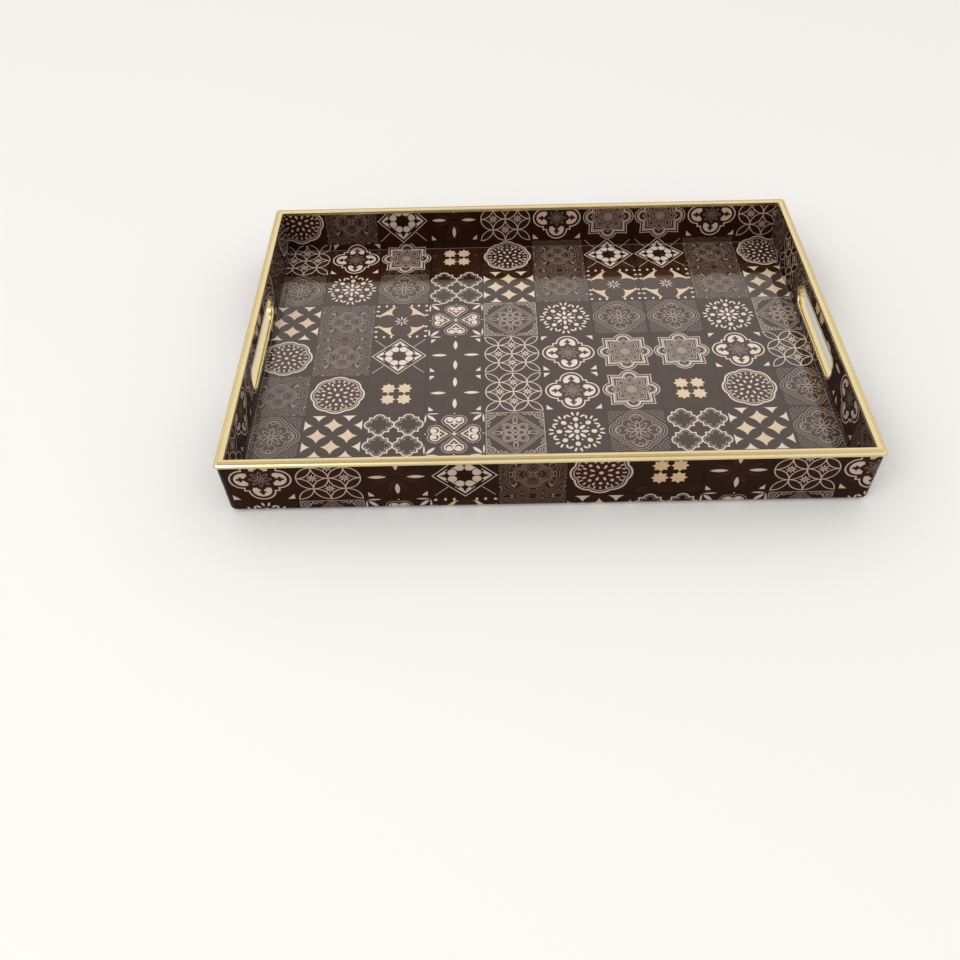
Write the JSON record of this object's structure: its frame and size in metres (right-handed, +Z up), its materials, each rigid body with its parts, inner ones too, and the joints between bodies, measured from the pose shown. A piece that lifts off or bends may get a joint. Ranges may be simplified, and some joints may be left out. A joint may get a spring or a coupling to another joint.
{
  "type": "serving tray",
  "caption": "Rectangular serving tray with leaning walls, a gold bead rim, gold-lined hand slots and a dark tile-pattern print under gloss lacquer.",
  "frame": {"origin": "centre of the tray's underside, at the height of the feet", "axes": "+X along the length, +Z up out of the open side, -Y towards the long side that faces the user"},
  "size_m": [0.4, 0.28, 0.045],
  "materials": {
    "lacquered_board": "gloss",
    "printed_laminate": "gloss",
    "gold_trim": "polished",
    "fibreboard": "matte",
    "backing_sheet": "satin",
    "steel": "satin",
    "rubber": "matte"
  },
  "bodies": {
    "root": {"front_rail": "lacquered_board", "back_rail": "lacquered_board", "left_rail": "lacquered_board", "right_rail": "lacquered_board", "rim_trim_front": "gold_trim", "rim_trim_back": "gold_trim", "rim_trim_left": "gold_trim", "rim_trim_right": "gold_trim", "handle_liner_left": "gold_trim", "handle_liner_right": "gold_trim", "floor_print": "printed_laminate", "floor_board": "fibreboard", "floor_backing": "backing_sheet", "corner_v_nails": "steel", "floor_brads": "steel", "foot_bumper_front_left": "rubber", "foot_bumper_front_right": "rubber", "foot_bumper_back_left": "rubber", "foot_bumper_back_right": "rubber"}
  },
  "joints": []
}
